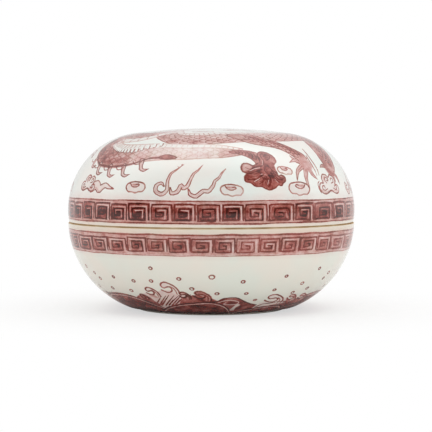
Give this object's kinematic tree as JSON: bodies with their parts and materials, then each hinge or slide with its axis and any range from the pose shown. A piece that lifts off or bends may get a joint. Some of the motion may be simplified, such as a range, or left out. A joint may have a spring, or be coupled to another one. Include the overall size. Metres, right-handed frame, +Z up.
{
  "type": "seal paste box",
  "caption": "Round lidded porcelain box with a domed lift-off lid, a bowl with a standing flange and foot ring, and a cake of seal paste inside.",
  "frame": {"origin": "centre of the foot ring, on the surface that the box stands on", "axes": "+Z up along the axis of the box, -Y towards the side that the picture shows, +X to the right of that view"},
  "size_m": [0.092, 0.092, 0.058],
  "materials": {
    "lid_porcelain": "glossy clear glaze over white porcelain, painted in underglaze red",
    "bowl_porcelain": "glossy clear glaze over white porcelain, painted in underglaze red, unglazed rim and foot ring",
    "seal_paste": "oily, finely fibrous vermilion paste"
  },
  "bodies": {
    "bowl": {"bowl": "bowl_porcelain", "seal_paste": "seal_paste"},
    "lid": {"lid": "lid_porcelain"}
  },
  "joints": [
    {"name": "lid_lift", "type": "slide", "parent": "bowl", "child": "lid", "axis": [0, 0, 1], "range_m": [0, 0.06]}
  ]
}
